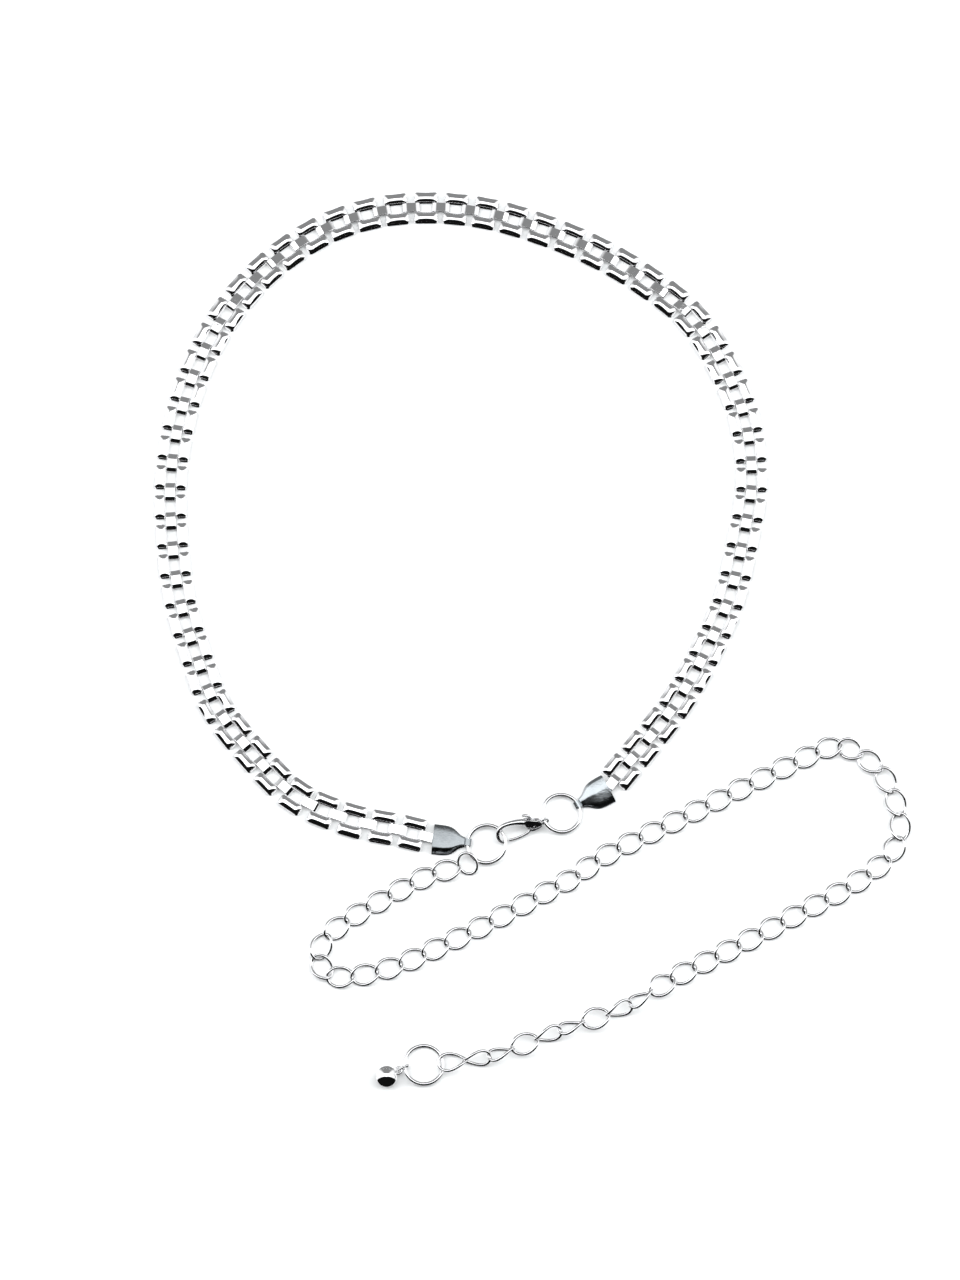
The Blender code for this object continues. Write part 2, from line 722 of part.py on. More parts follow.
def build():
    clear_scene()
    place = clasp_frame()
    hook_point = place @ Vector((CLASP_REACH, 0.0, 0.0))
    eye_point = place.translation
    left_middle = hook_point - flat_direction(LEFT_RING_HOOK) * ring_middle_radius()
    right_middle = eye_point - flat_direction(RIGHT_RING_EYE) * ring_middle_radius()
    wire_rest = cap_loop_radius()

    nodes = []
    for side, middle, heading, other, low in (
        ("left", left_middle, LEFT_CAP_HEADING, LEFT_RING_HOOK, LEFT_RING_LOW),
        ("right", right_middle, RIGHT_CAP_HEADING, RIGHT_RING_EYE, RIGHT_RING_LOW),
    ):
        heights = ((heading, wire_rest), (other, CLASP_REST), low)
        nodes.append(jump_ring("jump_ring_" + side, middle, heights, metal(side + "_ring", SILVER, 0.12)))
        out = flat_direction(heading)
        mouth = on_ring(middle, heading) + out * cap_reach()
        cap_place = frame_at(mouth, out)
        nodes.append(end_cap("end_cap_" + side, cap_place, metal(side + "_cap", BRUSHED, 0.35)))
        if side == "left":
            left_mouth = mouth.to_2d()
        else:
            right_mouth = mouth.to_2d()

    nodes.append(panther_chain(left_mouth, right_mouth, metal("panther_links", SILVER, 0.08)))
    nodes.append(clasp_body(place, metal("clasp", SILVER, 0.12)))
    nodes.append(clasp_lever(place, metal("lever", SILVER, 0.12)))

    chain, last, heading = extender_chain(metal("curb_links", SILVER, 0.10))
    nodes.append(chain)
    wire_inside = RING_WIRE / 2 + CURB_WIRE / 2 + CLEARANCE
    flat = Vector((heading.x, heading.y, 0.0)).normalized()
    ring_wire_point = last - flat * wire_inside
    end_middle = ring_wire_point + flat * ring_middle_radius()
    nodes.append(jump_ring("end_ring", end_middle, END_RING_HEIGHTS, metal("ring_end", SILVER, 0.12)))

    flat = flat_direction(BALL_HEADING)
    held = on_ring(end_middle, BALL_RING_HEADING)
    eye_reach = BALL_EYE_RADIUS / math.cos(math.pi / EYE_STEPS)
    clear = eye_reach + corner_radius(BALL_EYE_WIRE) + corner_radius(RING_WIRE) + CLEARANCE
    eye = held + flat * clear
    eye.z = LINK_HEIGHT
    ring_middle = eye - flat * BALL_RING_RADIUS
    nodes.append(ball_ring(ring_middle, flat, metal("ring_ball", SILVER, 0.12)))
    drop = BALL_RADIUS - LINK_HEIGHT
    reach = math.sqrt((BALL_RADIUS + BALL_NECK) ** 2 - drop ** 2)
    ball_middle = Vector((eye.x + flat.x * reach, eye.y + flat.y * reach, BALL_RADIUS))
    nodes.append(ball_drop(ball_middle, eye, metal("ball", SILVER, 0.06)))
    centre_on_floor(nodes)


build()
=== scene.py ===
import json
import math

import bmesh
import bpy
from mathutils import Matrix, Vector


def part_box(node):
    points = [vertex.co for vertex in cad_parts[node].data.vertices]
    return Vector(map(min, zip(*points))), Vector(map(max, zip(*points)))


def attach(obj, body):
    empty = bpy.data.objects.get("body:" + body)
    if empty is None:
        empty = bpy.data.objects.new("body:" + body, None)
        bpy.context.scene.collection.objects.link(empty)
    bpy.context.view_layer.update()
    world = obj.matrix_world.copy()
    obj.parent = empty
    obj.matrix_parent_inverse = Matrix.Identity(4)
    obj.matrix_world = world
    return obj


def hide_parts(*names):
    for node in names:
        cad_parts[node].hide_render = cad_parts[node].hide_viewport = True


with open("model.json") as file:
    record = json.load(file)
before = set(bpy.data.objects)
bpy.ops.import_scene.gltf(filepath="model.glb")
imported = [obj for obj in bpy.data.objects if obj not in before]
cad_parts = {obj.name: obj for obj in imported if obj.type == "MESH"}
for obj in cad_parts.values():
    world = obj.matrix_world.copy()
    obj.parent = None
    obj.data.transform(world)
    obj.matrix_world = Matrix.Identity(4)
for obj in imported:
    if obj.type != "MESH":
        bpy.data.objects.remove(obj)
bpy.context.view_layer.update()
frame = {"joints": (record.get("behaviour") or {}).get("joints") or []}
mm = 0.001


# Shapes are gathered as points and faces, and become one mesh for each piece.

def newShape():
    return {"points": [], "faces": []}


# joins rings of points one after another; the ends are closed unless the rings run round in a loop
def addSkin(shape, rings, loop=False):
    base = len(shape["points"])
    count = len(rings[0])
    for ring in rings:
        shape["points"].extend(ring)
    spans = len(rings) if loop else len(rings) - 1
    for i in range(spans):
        here = base + i * count
        there = base + (i + 1) % len(rings) * count
        for j in range(count):
            k = (j + 1) % count
            shape["faces"].append((here + j, here + k, there + k, there + j))
    if not loop:
        last = base + (len(rings) - 1) * count
        shape["faces"].append(tuple(base + j for j in reversed(range(count))))
        shape["faces"].append(tuple(last + j for j in range(count)))


def copyShape(target, source, place):
    base = len(target["points"])
    target["points"].extend(place @ point for point in source["points"])
    target["faces"].extend(tuple(base + k for k in face) for face in source["faces"])


def makePiece(name, shape, material, body, nodes, sharp=38.0):
    mesh = bpy.data.meshes.new(name)
    mesh.from_pydata([tuple(point) for point in shape["points"]], [], shape["faces"])
    bm = bmesh.new()
    bm.from_mesh(mesh)
    bmesh.ops.recalc_face_normals(bm, faces=bm.faces)
    bm.to_mesh(mesh)
    bm.free()
    mesh.shade_smooth()
    mesh.set_sharp_from_angle(angle=math.radians(sharp))
    mesh.materials.append(material)
    piece = bpy.data.objects.new(name, mesh)
    bpy.context.scene.collection.objects.link(piece)
    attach(piece, body)
    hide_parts(*nodes)
    print(name, len(mesh.polygons), "faces")


# Routes

# a point between p1 and p2, at share t of the way, on a smooth curve through all four
def between(p0, p1, p2, p3, t):
    return 0.5 * ((2 * p1) + (p2 - p0) * t + (2 * p0 - 5 * p1 + 4 * p2 - p3) * t ** 2
                  + (3 * p1 - p0 - 3 * p2 + p3) * t ** 3)


def smoothRoute(points, steps=16):
    points = [Vector(point) for point in points]
    padded = [2 * points[0] - points[1], *points, 2 * points[-1] - points[-2]]
    route = []
    for i in range(1, len(padded) - 2):
        route += [between(*padded[i - 1:i + 3], k / steps) for k in range(steps)]
    route.append(points[-1])
    return route


# a smooth closed outline through the points
def roundOutline(points, steps=5):
    points = [Vector(point) for point in points]
    count = len(points)
    outline = []
    for i in range(count):
        corners = [points[(i + k - 1) % count] for k in range(4)]
        outline += [tuple(between(*corners, k / steps)) for k in range(steps)]
    return outline


def routeLength(route):
    return sum((b - a).length for a, b in zip(route, route[1:]))


# the point at a distance along the route, and the route's direction there
def pointAlong(route, distance):
    for a, b in zip(route, route[1:]):
        step = (b - a).length
        if distance <= step:
            return a + (b - a) * (distance / step), (b - a).normalized()
        distance -= step
    direction = (route[-1] - route[-2]).normalized()
    return route[-1] + direction * distance, direction


# a place on the floor with X along the direction and Z up
def standAt(point, direction):
    x = Vector((direction[0], direction[1], 0.0)).normalized()
    y = Vector((-x.y, x.x, 0.0))
    place = Matrix((x, y, Vector((0.0, 0.0, 1.0)))).transposed().to_4x4()
    place.translation = (point[0], point[1], 0.0)
    return place


def heading(degrees):
    angle = math.radians(degrees)
    return Vector((math.cos(angle), math.sin(angle), 0.0))


# Wires

def wireSection(centre, outward, across, radius, sides, squash=1.0):
    ring = []
    for k in range(sides):
        angle = 2.0 * math.pi * k / sides
        away = outward * (radius * math.cos(angle))
        ring.append(centre + away + across * (radius * squash * math.sin(angle)))
    return ring


def addClosedWire(shape, path, radius, sides):
    middle = sum(path, Vector()) / len(path)
    rings = []
    for i, point in enumerate(path):
        tangent = (path[(i + 1) % len(path)] - path[i - 1]).normalized()
        outward = point - middle
        outward = (outward - tangent * outward.dot(tangent)).normalized()
        rings.append(wireSection(point, outward, tangent.cross(outward), radius, sides))
    addSkin(shape, rings, loop=True)


def circlePath(middle, first, second, radius, steps):
    turns = [2.0 * math.pi * k / steps for k in range(steps)]
    return [middle + (first * math.cos(turn) + second * math.sin(turn)) * radius for turn in turns]


# Materials

finish = {
    "rubDetail": 3.0,
    "rubFrom": 0.35,            # noise below this leaves the metal smooth
    "rubTo": 0.75,              # and above this rubs it fully
    "rippleDetail": 2.0,
    "rippleHeight": 0.1 * mm,
    "speckFrom": 0.05,          # a speck's bright middle and its soft rim, as shares of its cell
    "speckTo": 0.16,
}


def addNode(tree, kind, **settings):
    node = tree.nodes.new(kind)
    for key, value in settings.items():
        if key in node.inputs:
            node.inputs[key].default_value = value
        else:
            setattr(node, key, value)
    return node


# mirror-bright metal with faint rub marks: roughness wanders, and a fine noise ripples it
def polishedMetal(name, look):
    material = bpy.data.materials.new(name)
    material.use_nodes = True
    tree = material.node_tree
    shader = tree.nodes["Principled BSDF"]
    shader.inputs["Base Color"].default_value = (*look["colour"], 1.0)
    shader.inputs["Metallic"].default_value = 1.0
    spot = addNode(tree, "ShaderNodeTexCoord")
    rub = addNode(tree, "ShaderNodeTexNoise", Scale=look["rubScale"], Detail=finish["rubDetail"])
    tree.links.new(spot.outputs["Object"], rub.inputs["Vector"])
    spread = addNode(tree, "ShaderNodeMapRange")
    spread.inputs["From Min"].default_value = finish["rubFrom"]
    spread.inputs["From Max"].default_value = finish["rubTo"]
    spread.inputs["To Min"].default_value = look["smooth"]
    spread.inputs["To Max"].default_value = look["rubbed"]
    tree.links.new(rub.outputs["Fac"], spread.inputs["Value"])
    tree.links.new(spread.outputs["Result"], shader.inputs["Roughness"])
    ripple = addNode(tree, "ShaderNodeTexNoise", Scale=look["rippleScale"], Detail=finish["rippleDetail"])
    tree.links.new(spot.outputs["Object"], ripple.inputs["Vector"])
    bump = addNode(tree, "ShaderNodeBump", Strength=look["ripple"], Distance=finish["rippleHeight"])
    tree.links.new(ripple.outputs["Fac"], bump.inputs["Height"])
    tree.links.new(bump.outputs["Normal"], shader.inputs["Normal"])
    return material


# stamped sheet: small bright specks on a soft grey sheen
def satinMetal(name, look):
    material = polishedMetal(name, look)
    tree = material.node_tree
    shader = tree.nodes["Principled BSDF"]
    spot = addNode(tree, "ShaderNodeTexCoord")
    speck = addNode(tree, "ShaderNodeTexVoronoi", Scale=look["speckScale"])
    tree.links.new(spot.outputs["Object"], speck.inputs["Vector"])
    tone = addNode(tree, "ShaderNodeValToRGB")
    tone.color_ramp.elements[0].position = finish["speckFrom"]
    tone.color_ramp.elements[0].color = (*look["speckColour"], 1.0)
    tone.color_ramp.elements[1].position = finish["speckTo"]
    tone.color_ramp.elements[1].color = (*look["colour"], 1.0)
    tree.links.new(speck.outputs["Distance"], tone.inputs["Fac"])
    tree.links.new(tone.outputs["Color"], shader.inputs["Base Color"])
    return material


# The clasp comes first, because the rings and the whole frame are set out from it.

clasp = {
    "eye": Vector((3.51, -65.64, 3.1)) * mm,
    "heading": 200.4,           # degrees, from the tail eye to the nose
    "roll": 38.0,               # degrees, with the hook's back up
    "reach": 15.0 * mm,         # from the eye to the left ring's wire
    "pivot": Vector((4.2, -0.2, 0.0)) * mm,
}


# X from the tail eye to the nose, Y to the hook's back
def claspPlace():
    along = heading(clasp["heading"])
    side = Vector((along.y, -along.x, 0.0))
    roll = math.radians(clasp["roll"])
    back = side * math.cos(roll) + Vector((0.0, 0.0, math.sin(roll)))
    place = Matrix((along, back, along.cross(back))).transposed().to_4x4()
    place.translation = clasp["eye"]
    return place


# The part is centred on its box, so the hinge tells how far its own plan has moved.
hinge = Vector(frame["joints"][0]["pos_m"])
shift = hinge - claspPlace() @ clasp["pivot"]


def moved(points):
    return [(x + shift.x, y + shift.y) for x, y in points]


rings = {
    "radius": 6.67 * mm,
    "wire": 1.14 * mm,
    "steps": 96,
    "sides": 20,
    # three points of each ring, as a heading in degrees and the wire's height there in millimetres
    "left": {"cap": (174.0, 1.30), "hook": (23.5, 3.1), "low": (265.0, 1.9)},
    "right": {"cap": (29.0, 1.30), "eye": (206.6, 3.1), "low": (297.0, 1.8)},
    "end": {"link": (4.0, 0.9), "ball": (184.0, 2.2), "low": (274.0, 2.2)},
    "look": {"colour": (0.93, 0.93, 0.94), "rubScale": 420.0, "smooth": 0.01, "rubbed": 0.04,
             "rippleScale": 900.0, "ripple": 0.06},
}
ringRadius = rings["radius"]


# slopes and height of the plane through three points of a ring
def ringPlane(heights):
    rows = []
    for degrees, _ in heights:
        spoke = heading(degrees) * ringRadius
        rows.append((spoke.x, spoke.y, 1.0))
    return Matrix(rows).inverted() @ Vector([height * mm for _, height in heights])


def makeRing(name, middle, side):
    slopeX, slopeY, height = ringPlane(list(side.values()))
    centre = Vector((middle.x, middle.y, height))
    eastward = Vector((1.0, 0.0, slopeX))
    northward = Vector((0.0, 1.0, slopeY))
    path = circlePath(centre, eastward, northward, ringRadius, rings["steps"])
    shape = newShape()
    addClosedWire(shape, path, rings["wire"] / 2, rings["sides"])
    makePiece(name.replace("_", "") + "Wire", shape, ringMetal, "chain", [name])


ringMetal = polishedMetal("ringMetal", rings["look"])
claspFrame = claspPlace()
claspFrame.translation += shift
hookPoint = claspFrame @ Vector((clasp["reach"], 0.0, 0.0))
leftMiddle = hookPoint - heading(rings["left"]["hook"][0]) * ringRadius
rightMiddle = claspFrame.translation - heading(rings["right"]["eye"][0]) * ringRadius
lowCorner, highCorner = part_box("end_ring")
makeRing("jump_ring_left", leftMiddle, rings["left"])
makeRing("jump_ring_right", rightMiddle, rings["right"])
makeRing("end_ring", (lowCorner + highCorner) / 2, rings["end"])


# End caps

cap = {
    "length": 11.2 * mm,
    "width": 10.6 * mm,
    "height": 3.1 * mm,
    "wall": 0.4 * mm,
    "loopRadius": 1.30 * mm,
    "loopHole": 0.90 * mm,
    "loopLength": 2.5 * mm,
    "loopSides": 32,
    "reach": 12.2 * mm,         # from the mouth to the ring's wire
    "brim": 0.35,               # height of the upright sides, as a share
    "nearEdge": 0.68,           # where the top's two edges run, as shares of the half width
    "farEdge": 0.84,
    "soft": 0.16,               # how much of each side its rounded corner takes
    # share of the length, then width, underside and top as shares
    "sections": (
        (0.00, 1.00, 0.00, 1.00), (0.04, 1.00, 0.00, 1.00), (0.20, 1.00, 0.00, 1.00),
        (0.34, 0.99, 0.00, 1.00), (0.45, 0.96, 0.00, 0.99), (0.54, 0.91, 0.00, 0.98),
        (0.61, 0.84, 0.01, 0.95), (0.69, 0.72, 0.03, 0.91), (0.77, 0.57, 0.06, 0.85),
        (0.86, 0.43, 0.11, 0.78), (0.93, 0.36, 0.16, 0.71), (1.00, 0.32, 0.22, 0.62),
    ),
    "hollow": 6,                # the pocket follows this many of the sections
    # which side is the near one, where the ridge runs, how far the top lies below the full height at
    # its near edge, at the ridge and at its far edge, and the painted shade: a factor that darkens this
    # cap's sheet colours (the two caps are one metal)
    "left": {"near": 1, "ridge": 0.45, "falls": (0.0, 0.32 * mm, 0.50 * mm), "paintedShade": 0.55},
    "right": {"near": -1, "ridge": 0.10, "falls": (0.95 * mm, 0.0, 0.12 * mm), "paintedShade": 0.85},
    "look": {"colour": (0.50, 0.535, 0.56), "speckColour": (0.90, 0.92, 0.94), "speckScale": 2200.0,
             "rubScale": 500.0, "smooth": 0.15, "rubbed": 0.26, "rippleScale": 1600.0, "ripple": 0.30},
}


# one section across a cap; the pocket's sections are shrunk by the wall
def capSection(share, width, underside, top, side, shrink):
    x = -share * cap["length"]
    half = cap["width"] * width / 2 - shrink
    low = cap["height"] * underside + shrink
    high = cap["height"] * top - shrink
    brim = low + (high - low) * cap["brim"]
    near, ridge, far = (fall * width for fall in side["falls"])
    corners = [
        (-half, low), (half, low), (half, brim), (cap["nearEdge"] * half, high - near),
        (-side["ridge"] * half, high - ridge), (-cap["farEdge"] * half, high - far), (-half, brim),
    ]
    return roundedLoop([Vector((x, side["near"] * y, z)) for y, z in corners], cap["soft"])


# each corner becomes three points, so that the edge is soft
def roundedLoop(corners, share):
    loop = []
    for i, corner in enumerate(corners):
        before = corners[i - 1]
        after = corners[(i + 1) % len(corners)]
        first = corner.lerp(before, share)
        second = corner.lerp(after, share)
        loop += [first, corner * 0.5 + (first + second) * 0.25, second]
    return loop


def makeCap(name, middle, degrees, side):
    out = heading(degrees)
    mouth = middle + out * (ringRadius + cap["reach"])
    place = standAt(mouth, out)
    shape = newShape()
    skins = []
    for row in reversed(cap["sections"][:cap["hollow"]]):
        skins.append([place @ point for point in capSection(*row, side, cap["wall"])])
    for row in cap["sections"]:
        skins.append([place @ point for point in capSection(*row, side, 0.0)])
    addSkin(shape, skins)
    hole, outside = cap["loopHole"], cap["loopRadius"]
    loop = []
    for end, radius in ((-1, hole), (-1, outside), (1, outside), (1, hole)):
        ring = []
        for k in range(cap["loopSides"]):
            angle = 2.0 * math.pi * k / cap["loopSides"]
            ring.append(place @ Vector((
                -cap["reach"] + radius * math.cos(angle), end * cap["loopLength"] / 2,
                outside + radius * math.sin(angle),
            )))
        loop.append(ring)
    addSkin(shape, loop, loop=True)
    # painted shade: the sheet's base and speck colours are scaled by the side's factor, so the left cap
    # reads darker than the right
    look = dict(cap["look"])
    for key in ("colour", "speckColour"):
        look[key] = [part * side["paintedShade"] for part in cap["look"][key]]
    piece = name.replace("_", "") + "Sheet"
    makePiece(piece, shape, satinMetal(piece + "Metal", look), "chain", [name])
    return mouth


leftMouth = makeCap("end_cap_left", leftMiddle, rings["left"]["cap"][0], cap["left"])
rightMouth = makeCap("end_cap_right", rightMiddle, rings["right"]["cap"][0], cap["right"])


# Panther chain

panther = {
    "pitch": 10.75 * mm,
    "width": 11.3 * mm,
    "padLength": 8.5 * mm,
    "padWidth": 3.7 * mm,
    "padHeight": 2.7 * mm,
    "padArch": 0.19,            # fall in mm of the top, 1 mm from its middle line
    "padArchPower": 2.4,
    "padArchEnds": 0.80,        # share of the arch that is lost towards the ends
    "padFlat": 2.3 * mm,        # half of the straight middle
    "padEnd": 3.0 * mm,         # radius of the arcs at both ends
    "padCorner": 0.9 * mm,
    "padEdge": 0.22 * mm,
    "padStepsAlong": 6,         # from the straight middle to the edge
    "padStepsAcross": 6,        # from the middle line to the edge
    "padTurnsAlong": (0.5, 1.0, 1.3, math.pi / 2),      # steps round the edge
    "padTurnsAcross": (0.7, 1.2, math.pi / 2),
    "stripLength": 6.5 * mm,
    "stripWidth": 3.35 * mm,
    "stripTop": 2.4 * mm,
    "stripFlat": 1.1 * mm,
    "stripArc": 3.8 * mm,
    "stripBend": 0.30 * mm,
    "stripThickness": 0.35 * mm,
    "stripArcReach": 0.1 * mm,  # how far the arc runs into the bend
    "stripSoft": 0.10 * mm,     # width of the rounded rim, and how deep it goes as a share
    "stripRound": 0.22,
    "stripSteps": (3, 8, 5),    # along the flat, the arc and the bend
    # the turned-in lip: how far inside the end, and how high, in millimetres
    "stripLip": ((0.0, 0.85), (0.10, 0.62), (0.40, 0.52), (0.95, 0.55)),
    "stripInsert": 1.2 * mm,    # how far the last strip reaches into an end cap
    "barRadius": 0.32 * mm,
    "barSides": 12,
    "barHeight": 1.2 * mm,
    "barOffset": 2.25 * mm,
    "route": (
        (-0.0450, -0.0690), (-0.0655, -0.0645), (-0.0840, -0.0560), (-0.0995, -0.0405),
        (-0.1120, -0.0240), (-0.1195, -0.0050), (-0.1255, 0.0150), (-0.1285, 0.0360),
        (-0.1295, 0.0575), (-0.1270, 0.0790), (-0.1210, 0.1000), (-0.1110, 0.1200),
        (-0.0965, 0.1375), (-0.0785, 0.1510), (-0.0595, 0.1585), (-0.0390, 0.1610),
        (-0.0175, 0.1590), (0.0030, 0.1530), (0.0225, 0.1445), (0.0405, 0.1335),
        (0.0570, 0.1195), (0.0685, 0.1010), (0.0760, 0.0805), (0.0780, 0.0580),
        (0.0745, 0.0360), (0.0690, 0.0140), (0.0600, -0.0060), (0.0495, -0.0240),
        (0.0370, -0.0400), (0.0315, -0.0465),
    ),
    "look": {"colour": (0.93, 0.93, 0.94), "rubScale": 380.0, "smooth": 0.02, "rubbed": 0.06,
             "rippleScale": 700.0, "ripple": 0.08},
    "sharp": 44.0,
}


# how far an arc has fallen at a reach from its top
def arcDrop(radius, reach):
    reach = min(max(reach, 0.0), radius)
    return radius - math.sqrt(radius ** 2 - reach ** 2)


def archDrop(x, y):
    share = 1.0 - panther["padArchEnds"] * (2.0 * x / panther["padLength"]) ** 2
    return panther["padArch"] * share * (abs(y) / mm) ** panther["padArchPower"] * mm


# a stamped pillow: an arc across, straight along its middle and turned down at both ends
def padShape(side):
    shape = newShape()
    edge = panther["padEdge"]
    corner = panther["padCorner"]
    halfLength = panther["padLength"] / 2
    centre = side * (panther["width"] - panther["padWidth"]) / 2
    flat = panther["padFlat"]
    along = panther["padStepsAlong"]
    across = panther["padStepsAcross"]
    stations = [0.0, flat / 2]
    stations += [flat + (halfLength - edge - flat) * k / along for k in range(along + 1)]
    stations += [halfLength - edge * (1.0 - math.sin(turn)) for turn in panther["padTurnsAlong"]]
    stations = [-x for x in reversed(stations[1:])] + stations
    skins = []
    for x in stations:
        drop = arcDrop(panther["padEnd"], abs(x) - flat) + arcDrop(edge, abs(x) - halfLength + edge)
        half = panther["padWidth"] / 2 - arcDrop(corner, abs(x) - halfLength + corner)
        ring = []
        for k in range(2 * across + 1):
            y = (half - edge) * (k / across - 1)
            ring.append((y, archDrop(x, y)))
        for turn in panther["padTurnsAcross"]:
            y = half - edge * (1.0 - math.sin(turn))
            fall = archDrop(x, y) + edge * (1.0 - math.cos(turn))
            ring.append((y, fall))
            ring.insert(0, (-y, fall))
        top = panther["padHeight"] - drop
        points = [Vector((x, centre + y, top - fall)) for y, fall in ring]
        skins.append(points + [Vector((x, centre + half, 0.0)), Vector((x, centre - half, 0.0))])
    addSkin(shape, skins)
    return shape


# a curved strip whose ends turn down and in round the two bars
def stripShape():
    half = panther["stripLength"] / 2
    top = panther["stripTop"]
    thick = panther["stripThickness"]
    flat = panther["stripFlat"]
    arc = panther["stripArc"]
    bend = panther["stripBend"]
    flatSteps, arcSteps, bendSteps = panther["stripSteps"]
    reach = half - bend - flat + panther["stripArcReach"]
    outer = [Vector((flat * k / flatSteps, 0.0, top)) for k in range(flatSteps)]
    for k in range(arcSteps + 1):
        run = reach * k / arcSteps
        outer.append(Vector((flat + run, 0.0, top - arcDrop(arc, run))))
    lean = math.asin(reach / arc)
    middle = outer[-1] - Vector((math.sin(lean), 0.0, math.cos(lean))) * bend
    for k in range(1, bendSteps + 1):
        turn = lean + (math.pi / 2 - lean) * k / bendSteps
        outer.append(middle + Vector((math.sin(turn), 0.0, math.cos(turn))) * bend)
    outer += [Vector((half - inside * mm, 0.0, height * mm)) for inside, height in panther["stripLip"]]
    line = [Vector((-p.x, 0.0, p.z)) for p in reversed(outer[1:])] + outer
    inner = []
    for i, point in enumerate(line):
        before = line[max(i - 1, 0)]
        after = line[min(i + 1, len(line) - 1)]
        along = (after - before).normalized()
        inner.append(point + Vector((-along.z, 0.0, along.x)) * -thick)
    shape = newShape()
    skins = []
    width = panther["stripWidth"] / 2
    soft = panther["stripSoft"]
    # the third row keeps the shading flat up to the rim
    rows = [(-width, panther["stripRound"]), (-width + soft, 0.0), (-width + 1.3 * soft, 0.0)]
    for y, share in rows + [(-y, share) for y, share in reversed(rows)]:
        first = [a.lerp(b, share) + Vector((0.0, y, 0.0)) for a, b in zip(line, inner)]
        second = [b.lerp(a, share) + Vector((0.0, y, 0.0)) for a, b in zip(line, inner)]
        skins.append(first + second[::-1])
    addSkin(shape, skins)
    return shape


# a bar across, from the middle of one pad to the middle of the other
def barShape(x):
    reach = panther["width"] / 2 - panther["padWidth"] / 2
    along, up = Vector((1.0, 0.0, 0.0)), Vector((0.0, 0.0, 1.0))
    shape = newShape()
    skins = []
    for y in (-reach, reach):
        centre = Vector((x, y, panther["barHeight"]))
        skins.append(wireSection(centre, along, up, panther["barRadius"], panther["barSides"]))
    addSkin(shape, skins)
    return shape


def makePanther():
    mouths = (leftMouth.to_2d(), rightMouth.to_2d())
    route = smoothRoute((mouths[0], *moved(panther["route"]), mouths[1]))
    length = routeLength(route)
    start = panther["stripLength"] / 2 - panther["stripInsert"]
    count = round((length - 2 * start) / panther["pitch"])
    pitch = (length - 2 * start) / count
    pads = [padShape(-1), padShape(1)]
    bars = [barShape(side * (pitch / 2 - panther["barOffset"])) for side in (-1, 1)]
    strip = stripShape()
    chain = newShape()
    for i in range(count):
        place = standAt(*pointAlong(route, start + (i + 0.5) * pitch))
        for template in pads + bars:
            copyShape(chain, template, place)
    for i in range(count + 1):
        copyShape(chain, strip, standAt(*pointAlong(route, start + i * pitch)))
    print("panther links", count, "pitch", round(pitch / mm, 3))
    metal = polishedMetal("pantherMetal", panther["look"])
    makePiece("pantherLinks", chain, metal, "chain", ["panther_chain"], panther["sharp"])


makePanther()


# Curb chain

curb = {
    "pitch": 8.7 * mm,
    "width": 7.8 * mm,
    "wire": 0.96 * mm,
    "twist": 64.0,              # degrees from one end of a link to the other
    "steps": 48,
    "sides": 14,
    "turnedPairs": (9, 6, 3),   # where the turned links start, counted from the free end
    "pairRolls": (60.0, 120.0),
    "lastRoll": 30.0,
    "bite": 0.1 * mm,           # how far neighbours press into each other
    "lift": 1.3,                # in bites, so that the lowest wire clears the floor
    "connectorLength": 8.6 * mm,
    "connectorWidth": 7.45 * mm,
    "connectorPlace": Vector((-23.3, -80.4, 2.2)) * mm,
    "connectorHeading": 118.8,
    "connectorSlope": 16.0,
    "connectorRoll": -20.2,
    "route": (
        (-0.0360, -0.0840), (-0.0510, -0.0920), (-0.0655, -0.1005),
        (-0.0725, -0.1060), (-0.0760, -0.1130), (-0.0735, -0.1190), (-0.0655, -0.1205),
        (-0.0485, -0.1165), (-0.0330, -0.1095), (-0.0175, -0.1020), (-0.0025, -0.0940),
        (0.0075, -0.0885), (0.0135, -0.0865), (0.0185, -0.0810), (0.0335, -0.0730),
        (0.0490, -0.0655), (0.0650, -0.0575), (0.0810, -0.0495), (0.0935, -0.0435),
        (0.0985, -0.0410), (0.1030, -0.0385), (0.1110, -0.0380), (0.1155, -0.0425),
        (0.1215, -0.0470), (0.1255, -0.0555), (0.1280, -0.0640), (0.1275, -0.0725),
        (0.1225, -0.0795), (0.1090, -0.0890), (0.0945, -0.0965), (0.0785, -0.1050),
        (0.0630, -0.1130), (0.0470, -0.1210), (0.0310, -0.1310), (0.0150, -0.1365),
        (0.0000, -0.1420), (-0.0160, -0.1480), (-0.0330, -0.1500),
    ),
    "look": {"colour": (0.92, 0.92, 0.93), "rubScale": 600.0, "smooth": 0.01, "rubbed": 0.05,
             "rippleScale": 900.0, "ripple": 0.08},
}


# the middle line of a twisted oval link, rolled about its length
def curbPath(start, end, roll):
    along = (end - start).normalized()
    side = Vector((-along.y, along.x, 0.0)).normalized()
    up = along.cross(side)
    middle = (start + end) / 2
    halfLength = (end - start).length / 2 + (curb["wire"] - curb["bite"]) / 2
    halfWidth = (curb["width"] - curb["wire"]) / 2
    path = []
    for k in range(curb["steps"]):
        angle = 2.0 * math.pi * k / curb["steps"]
        turn = math.radians(roll - curb["twist"] / 2 * math.cos(angle))
        reach = halfWidth * math.sin(angle)
        path.append(
            middle + along * (halfLength * math.cos(angle))
            + (side * math.cos(turn) + up * math.sin(turn)) * reach
        )
    return path


# height of the joints of a link that lies on the floor
def restHeight(roll):
    path = curbPath(Vector((0.0, 0.0, 0.0)), Vector((curb["pitch"], 0.0, 0.0)), roll)
    return curb["wire"] / 2 - min(point.z for point in path) + curb["lift"] * curb["bite"]


